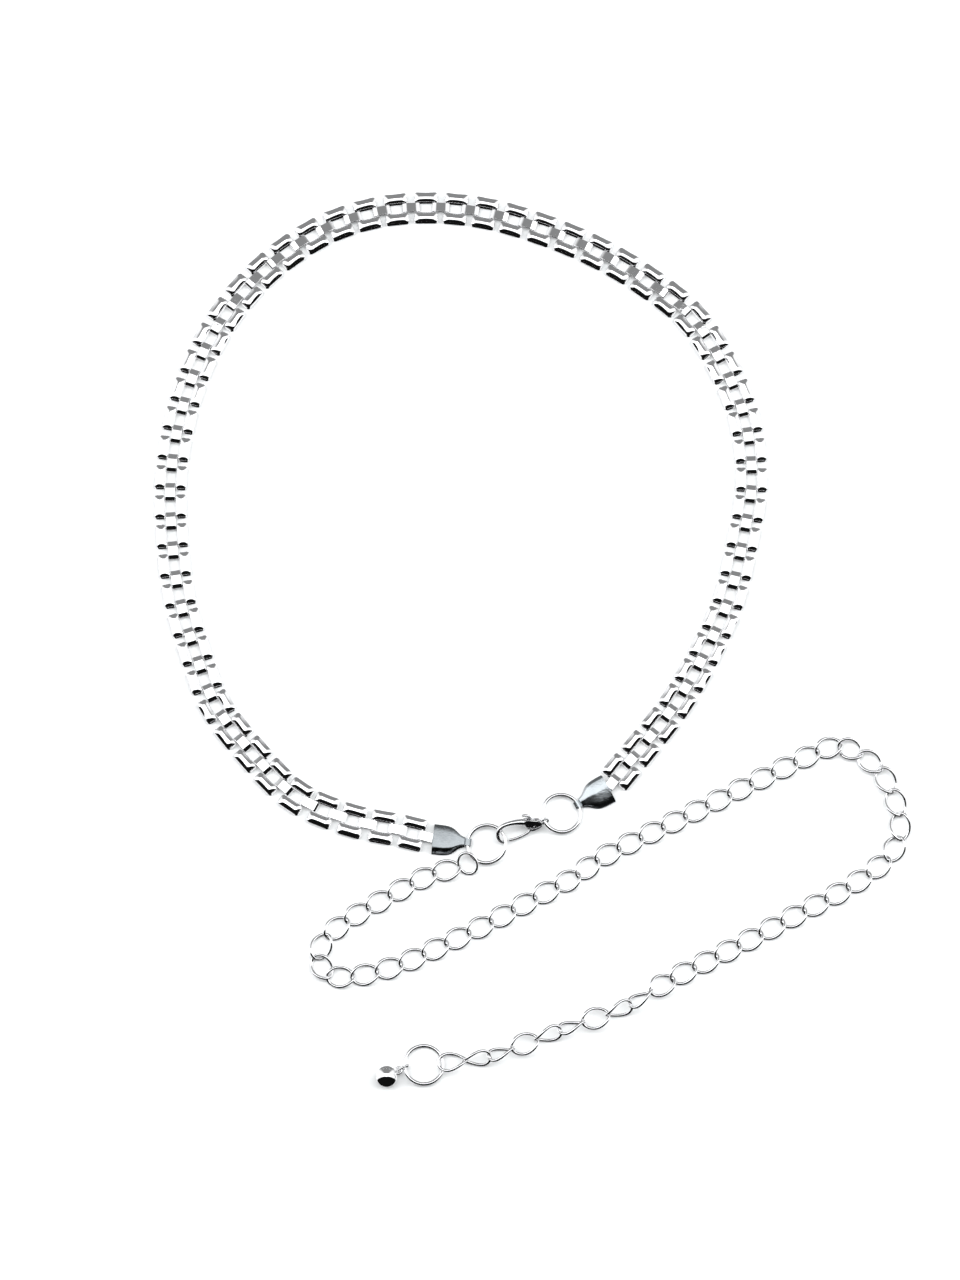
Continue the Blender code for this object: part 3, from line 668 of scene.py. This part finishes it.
def connectorAxes():
    along = heading(curb["connectorHeading"])
    side = Vector((-along.y, along.x, 0.0))
    slope = math.radians(curb["connectorSlope"])
    along = along * math.cos(slope) + Vector((0.0, 0.0, math.sin(slope)))
    roll = math.radians(curb["connectorRoll"])
    return along, side * math.cos(roll) + along.cross(side) * math.sin(roll)


def makeCurb():
    along, side = connectorAxes()
    connector = curb["connectorPlace"] + Vector((shift.x, shift.y, 0.0))
    firstJoint = connector + side * ((curb["connectorWidth"] - curb["bite"]) / 2)
    route = smoothRoute((firstJoint.to_2d(), *moved(curb["route"])))
    length = routeLength(route)
    count = round(length / curb["pitch"])
    pitch = length / count
    rolls = [0.0] * count
    for start in curb["turnedPairs"]:
        for k, roll in enumerate(curb["pairRolls"]):
            rolls[count - start + k] = roll
    rolls[-1] = curb["lastRoll"]
    heights = [restHeight(roll) for roll in rolls]
    joints = []
    for i in range(count + 1):
        point, _ = pointAlong(route, i * pitch)
        joints.append(Vector((point.x, point.y, max(heights[max(i - 1, 0):i + 1]))))
    chain = newShape()
    for start, end, roll in zip(joints, joints[1:], rolls):
        addClosedWire(chain, curbPath(start, end, roll), curb["wire"] / 2, curb["sides"])
    halfLength = (curb["connectorLength"] - curb["wire"]) / 2
    halfWidth = (curb["connectorWidth"] - curb["wire"]) / 2
    path = []
    for k in range(curb["steps"]):
        angle = 2.0 * math.pi * k / curb["steps"]
        spot = connector + along * (halfLength * math.cos(angle))
        path.append(spot + side * (halfWidth * math.sin(angle)))
    addClosedWire(chain, path, curb["wire"] / 2, curb["sides"])
    print("curb links", count, "pitch", round(pitch / mm, 3))
    metal = polishedMetal("curbMetal", curb["look"])
    makePiece("curbLinks", chain, metal, "chain", ["extender_chain"])


makeCurb()


# Clasp body, with its hook and tail eye

claspShape = {
    "eyeRadius": 1.30 * mm,
    "eyeWire": 0.38 * mm,
    "eyeTurn": -30.0,           # degrees that the eye is turned against the hook
    "eyeSteps": 32,
    "eyeSides": 12,
    "cheekIn": 0.75 * mm,       # the slot for the lever lies between the cheeks
    "cheekOut": 1.35 * mm,
    "pinRadius": 0.45,
    "pinSteps": 16,
    "pinProud": 0.1 * mm,
    "pinSoft": 0.05 * mm,
    # in millimetres: along, across, half width in the hook's plane, half thickness
    "neck": ((0.9, 0.0, 0.55, 0.62), (2.0, 0.3, 1.15, 1.10), (3.0, 0.65, 1.50, 1.32)),
    "hook": (
        (6.6, 2.3, 1.05, 1.34), (7.8, 2.8, 1.08, 1.15), (9.0, 3.25, 0.98, 1.02),
        (10.5, 3.65, 0.88, 0.92), (12.0, 3.9, 0.80, 0.84), (13.5, 3.95, 0.74, 0.78),
        (14.8, 3.75, 0.69, 0.74), (16.0, 3.1, 0.67, 0.72), (16.8, 2.1, 0.66, 0.70),
        (17.15, 0.7, 0.64, 0.68), (17.05, -0.6, 0.60, 0.65), (16.5, -1.7, 0.56, 0.60),
        (15.7, -2.3, 0.50, 0.55), (15.0, -2.5, 0.42, 0.46),
    ),
    "cheek": ((1.3, 0.9), (2.8, 1.8), (5.0, 2.9), (6.8, 3.25), (7.0, 1.4), (6.2, -0.4), (5.0, -1.5),
              (2.6, -1.4), (1.3, -0.8)),
    "look": {"colour": (0.91, 0.91, 0.92), "rubScale": 600.0, "smooth": 0.04, "rubbed": 0.12,
             "rippleScale": 1000.0, "ripple": 0.15},
    "sharp": 50.0,
}


# a rounded bar through rows of along, across, half width and half thickness, in millimetres
def addBar(shape, place, rows, sides=16, steps=6):
    table = smoothRoute([Vector(row) for row in rows], steps)
    skins = []
    for i, row in enumerate(table):
        before = table[max(i - 1, 0)]
        after = table[min(i + 1, len(table) - 1)]
        along = Vector((after[0] - before[0], after[1] - before[1])).normalized()
        outward = place.to_3x3() @ Vector((-along.y, along.x, 0.0))
        across = place.to_3x3() @ Vector((0.0, 0.0, 1.0))
        centre = place @ Vector((row[0] * mm, row[1] * mm, 0.0))
        skins.append(wireSection(centre, outward, across, row[2] * mm, sides, row[3] / row[2]))
    addSkin(shape, roundedEnds(skins))


# adds two smaller rings beyond each end, so that a bar doesn't end flat: each has a share of the
# end's size, and is pushed out by a share of it
def roundedEnds(skins):
    def beyond(ring, other):
        middle = sum(ring, Vector()) / len(ring)
        past = middle - sum(other, Vector()) / len(other)
        size = (ring[0] - middle).length
        rounded = []
        for share, push in ((0.8, 0.5), (0.35, 0.75)):
            step = past.normalized() * size * push
            rounded.append([middle + (point - middle) * share + step for point in ring])
        return rounded
    return beyond(skins[0], skins[1])[::-1] + skins + beyond(skins[-1], skins[-2])


# a flat plate with softened edges, from an outline in millimetres
def addPlate(shape, place, outline, low, high, soft=0.15 * mm):
    points = [Vector((x * mm, y * mm, 0.0)) for x, y in outline]
    middle = sum(points, Vector()) / len(points)
    skins = []
    for z, share in ((low, 1.0), (low + soft, 0.0), (high - soft, 0.0), (high, 1.0)):
        ring = []
        for point in points:
            inward = (middle - point).normalized() * soft * share
            ring.append(place @ (point + inward + Vector((0.0, 0.0, z))))
        skins.append(ring)
    addSkin(shape, skins)


def makeClasp():
    shape = newShape()
    addBar(shape, claspFrame, claspShape["hook"])
    addBar(shape, claspFrame, claspShape["neck"])
    for side in (-1, 1):
        ends = sorted((side * claspShape["cheekIn"], side * claspShape["cheekOut"]))
        addPlate(shape, claspFrame, roundOutline(claspShape["cheek"]), *ends)
    pin = []
    for k in range(claspShape["pinSteps"]):
        angle = 2.0 * math.pi * k / claspShape["pinSteps"]
        pin.append((clasp["pivot"].x / mm + claspShape["pinRadius"] * math.cos(angle),
                    clasp["pivot"].y / mm + claspShape["pinRadius"] * math.sin(angle)))
    half = claspShape["cheekOut"] + claspShape["pinProud"]
    addPlate(shape, claspFrame, pin, -half, half, claspShape["pinSoft"])
    turn = math.radians(claspShape["eyeTurn"])
    local = claspFrame.to_3x3()
    up = local @ Vector((0.0, math.cos(turn), math.sin(turn)))
    along = local @ Vector((1.0, 0.0, 0.0))
    path = circlePath(claspFrame.translation, along, up, claspShape["eyeRadius"], claspShape["eyeSteps"])
    addClosedWire(shape, path, claspShape["eyeWire"], claspShape["eyeSides"])
    makePiece("claspCasting", shape, claspMetal, "chain", ["clasp_body"], claspShape["sharp"])


claspMetal = polishedMetal("claspMetal", claspShape["look"])
makeClasp()


# Clasp lever

lever = {
    "halfThickness": 0.40 * mm,
    "hubRadius": 1.25 * mm,
    "bore": 0.75 * mm,
    "hubSides": 32,
    "barSides": 12,
    # in millimetres, as the clasp's bars
    "arm": ((4.95, -0.86, 0.42, 0.38), (6.45, -1.88, 0.44, 0.38), (8.2, -2.3, 0.44, 0.38),
            (10.0, -2.5, 0.42, 0.38), (12.0, -2.45, 0.42, 0.38), (13.6, -2.27, 0.40, 0.36)),
    "trigger": ((4.32, 0.79, 0.42, 0.36), (4.3, 2.4, 0.42, 0.36), (4.5, 3.5, 0.44, 0.40),
                (5.1, 4.3, 0.46, 0.55), (6.0, 4.8, 0.46, 0.62), (6.9, 4.95, 0.42, 0.60)),
}


def makeLever():
    shape = newShape()
    half = lever["halfThickness"]
    bore, outside = lever["bore"], lever["hubRadius"]
    hub = []
    for z, radius in ((-half, bore), (-half, outside), (half, outside), (half, bore)):
        ring = []
        for k in range(lever["hubSides"]):
            angle = 2.0 * math.pi * k / lever["hubSides"]
            spoke = Vector((radius * math.cos(angle), radius * math.sin(angle), z))
            ring.append(claspFrame @ (clasp["pivot"] + spoke))
        hub.append(ring)
    addSkin(shape, hub, loop=True)
    for bar in (lever["arm"], lever["trigger"]):
        addBar(shape, claspFrame, bar, lever["barSides"])
    makePiece("claspLever", shape, claspMetal, "lever", ["clasp_lever"], claspShape["sharp"])


makeLever()


# Ball drop and its ring

ball = {
    "radius": 3.6 * mm,
    "heading": 208.0,           # degrees, from the small ring to the ball
    "rows": 40,
    "sides": 64,
    "eyeRadius": 1.1 * mm,
    "eyeWire": 0.35 * mm,
    "eyeSteps": 32,
    "eyeSides": 12,
    # share of the way from the eye to the ball's middle, and radius in millimetres
    "neck": ((0.16, 0.45), (0.24, 0.65), (0.30, 1.0), (0.36, 1.25)),
    "neckSides": 24,
    "ringRadius": 1.95 * mm,
    "ringWire": 0.35 * mm,
    "ringSteps": 48,
    "ringSides": 14,
    "look": {"colour": (0.93, 0.93, 0.94), "rubScale": 300.0, "smooth": 0.02, "rubbed": 0.05,
             "rippleScale": 500.0, "ripple": 0.03},
}


# the small ring stands on edge, and its middle tells where the ball's eye is
def makeBall():
    flat = heading(ball["heading"])
    side = Vector((-flat.y, flat.x, 0.0))
    up = Vector((0.0, 0.0, 1.0))
    low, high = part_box("ball_ring")
    middle = (low + high) / 2
    shape = newShape()
    path = circlePath(middle, flat, up, ball["ringRadius"], ball["ringSteps"])
    addClosedWire(shape, path, ball["ringWire"], ball["ringSides"])
    makePiece("ballRingWire", shape, ringMetal, "chain", ["ball_ring"])
    eye = middle + flat * ball["ringRadius"]
    low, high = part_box("ball_drop")
    radius = ball["radius"]
    centre = Vector((low.x + radius, low.y + radius, radius))
    shape = newShape()
    skins = []
    for i in range(1, ball["rows"]):
        angle = math.pi * i / ball["rows"]
        level = centre + up * (radius * math.cos(angle))
        skins.append(circlePath(level, flat, side, radius * math.sin(angle), ball["sides"]))
    addSkin(shape, skins)
    path = circlePath(eye, flat, side, ball["eyeRadius"], ball["eyeSteps"])
    addClosedWire(shape, path, ball["eyeWire"], ball["eyeSides"])
    reach = centre - eye
    axis = reach.normalized()
    first = axis.cross(up).normalized()
    second = axis.cross(first)
    neck = []
    for share, size in ball["neck"]:
        neck.append(circlePath(eye + reach * share, first, second, size * mm, ball["neckSides"]))
    addSkin(shape, neck)
    metal = polishedMetal("ballMetal", ball["look"])
    makePiece("ballWithEye", shape, metal, "chain", ["ball_drop"])


makeBall()


# Floor, light and camera

studio = {
    "floorSize": 24.0,
    "floorTones": ((0.91, 0.92, 0.925), (0.93, 0.94, 0.94)),
    "floorGrain": 40.0,
    "floorDetail": 2.0,
    "floorRoughness": 0.9,
    "lightColour": (0.985, 0.995, 1.0),
    "ceilingHeight": 1.267,
    "ceilingFront": -0.256,
    "ceilingBack": 0.525,
    "ceilingWidth": 6.0,
    "white": 1.12,              # what the polished metal mirrors
    "fill": 2.8,                # what lights the floor besides, not mirrored
    "grey": 0.26,
    "black": 0.006,
    "greyFrom": 0.30,           # run over rise of a ray, towards the back and towards the front
    "blackFrom": -0.13,
    "soft": 0.02,
    "greySide": 0.9,            # how far round to the sides each reaches: sideways over forwards
    "blackSide": 4.0,
    "softSide": 0.3,
}


def makeFloor():
    bm = bmesh.new()
    bmesh.ops.create_grid(bm, x_segments=1, y_segments=1, size=studio["floorSize"] / 2)
    mesh = bpy.data.meshes.new("floor")
    bm.to_mesh(mesh)
    bm.free()
    floor = bpy.data.objects.new("floor", mesh)
    bpy.context.scene.collection.objects.link(floor)
    material = bpy.data.materials.new("floorWhite")
    material.use_nodes = True
    tree = material.node_tree
    shader = tree.nodes["Principled BSDF"]
    shader.inputs["Roughness"].default_value = studio["floorRoughness"]
    shader.inputs["Specular IOR Level"].default_value = 0.0
    grain = addNode(tree, "ShaderNodeTexNoise", Scale=studio["floorGrain"], Detail=studio["floorDetail"])
    tone = addNode(tree, "ShaderNodeValToRGB")
    for stop, colour in zip(tone.color_ramp.elements, studio["floorTones"]):
        stop.color = (*colour, 1.0)
    tree.links.new(grain.outputs["Fac"], tone.inputs["Fac"])
    tree.links.new(tone.outputs["Color"], shader.inputs["Base Color"])
    mesh.materials.append(material)
    floor.visible_glossy = False    # the metal mirrors the room instead


def calculate(tree, operation, first, second=None):
    node = addNode(tree, "ShaderNodeMath", operation=operation)
    for k, value in enumerate((first, second)):
        if value is None:
            continue
        if isinstance(value, (int, float)):
            node.inputs[k].default_value = value
        else:
            tree.links.new(value, node.inputs[k])
    return node.outputs[0]


# 0 before start and 1 after end, with a soft step between; start may be the larger
def ramp(tree, value, start, end):
    node = addNode(tree, "ShaderNodeMapRange", interpolation_type="SMOOTHSTEP")
    node.inputs["From Min"].default_value = start
    node.inputs["From Max"].default_value = end
    tree.links.new(value, node.inputs["Value"])
    return node.outputs["Result"]


# the grey or black part of the room: beyond its start, towards the back (1) or the front (-1)
def region(tree, lean, aside, name, towards):
    start, side = studio[name + "From"], studio[name + "Side"]
    soft, softSide = studio["soft"] * towards, studio["softSide"]
    beyond = ramp(tree, lean, start - soft, start + soft)
    return calculate(tree, "MULTIPLY", beyond, ramp(tree, aside, side + softSide, side - softSide))


# a white panel hangs over the chain, with a grey room behind it and a dark one in front
def makeLight():
    for name, strength in (("panel", studio["white"]), ("fill", studio["fill"])):
        data = bpy.data.lights.new(name, "AREA")
        data.shape = "RECTANGLE"
        data.size = studio["ceilingWidth"]
        data.size_y = studio["ceilingBack"] - studio["ceilingFront"]
        data.energy = strength * math.pi * data.size * data.size_y
        data.color = studio["lightColour"]
        light = bpy.data.objects.new(name, data)
        middle = (studio["ceilingBack"] + studio["ceilingFront"]) / 2
        light.location = (0.0, middle, studio["ceilingHeight"])
        light.visible_camera = False
        light.visible_glossy = name == "panel"
        bpy.context.scene.collection.objects.link(light)
    world = bpy.data.worlds.new("room")
    bpy.context.scene.world = world
    world.use_nodes = True
    tree = world.node_tree
    background = tree.nodes["Background"]
    spot = addNode(tree, "ShaderNodeTexCoord")
    split = addNode(tree, "ShaderNodeSeparateXYZ")
    tree.links.new(spot.outputs["Generated"], split.inputs["Vector"])
    x, y, z = split.outputs
    lean = calculate(tree, "DIVIDE", y, calculate(tree, "ABSOLUTE", z))
    aside = calculate(tree, "ABSOLUTE", calculate(tree, "DIVIDE", x, y))
    toGrey = addNode(tree, "ShaderNodeMix", data_type="FLOAT")
    toGrey.inputs[2].default_value = studio["white"]
    toGrey.inputs[3].default_value = studio["grey"]
    tree.links.new(region(tree, lean, aside, "grey", 1.0), toGrey.inputs[0])
    toBlack = addNode(tree, "ShaderNodeMix", data_type="FLOAT")
    toBlack.inputs[3].default_value = studio["black"]
    tree.links.new(toGrey.outputs[0], toBlack.inputs[2])
    tree.links.new(region(tree, lean, aside, "black", -1.0), toBlack.inputs[0])
    tree.links.new(toBlack.outputs[0], background.inputs["Strength"])
    background.inputs["Color"].default_value = (*studio["lightColour"], 1.0)


view = {
    "target": Vector((-0.0190, 0.0, 0.0)),
    "elevation": 77.0,          # degrees above the floor
    "distance": 1.3,
    "lens": 68.85,
    "sensorHeight": 24.0,
    "nearest": 0.05,            # what lies nearer to the camera isn't drawn
}


def makeCamera():
    data = bpy.data.cameras.new("camera")
    data.sensor_fit = "VERTICAL"
    data.sensor_height = view["sensorHeight"]
    data.lens = view["lens"]
    data.clip_start = view["nearest"]
    camera = bpy.data.objects.new("camera", data)
    bpy.context.scene.collection.objects.link(camera)
    target = view["target"] + Vector((shift.x, shift.y, 0.0))
    angle = math.radians(view["elevation"])
    away = Vector((0.0, -math.cos(angle), math.sin(angle)))
    camera.location = target + away * view["distance"]
    camera.rotation_euler = (-away).to_track_quat("-Z", "Y").to_euler()
    bpy.context.scene.camera = camera


makeFloor()
makeLight()
makeCamera()
bpy.context.scene.view_settings.view_transform = "Standard"
print("studio ready")
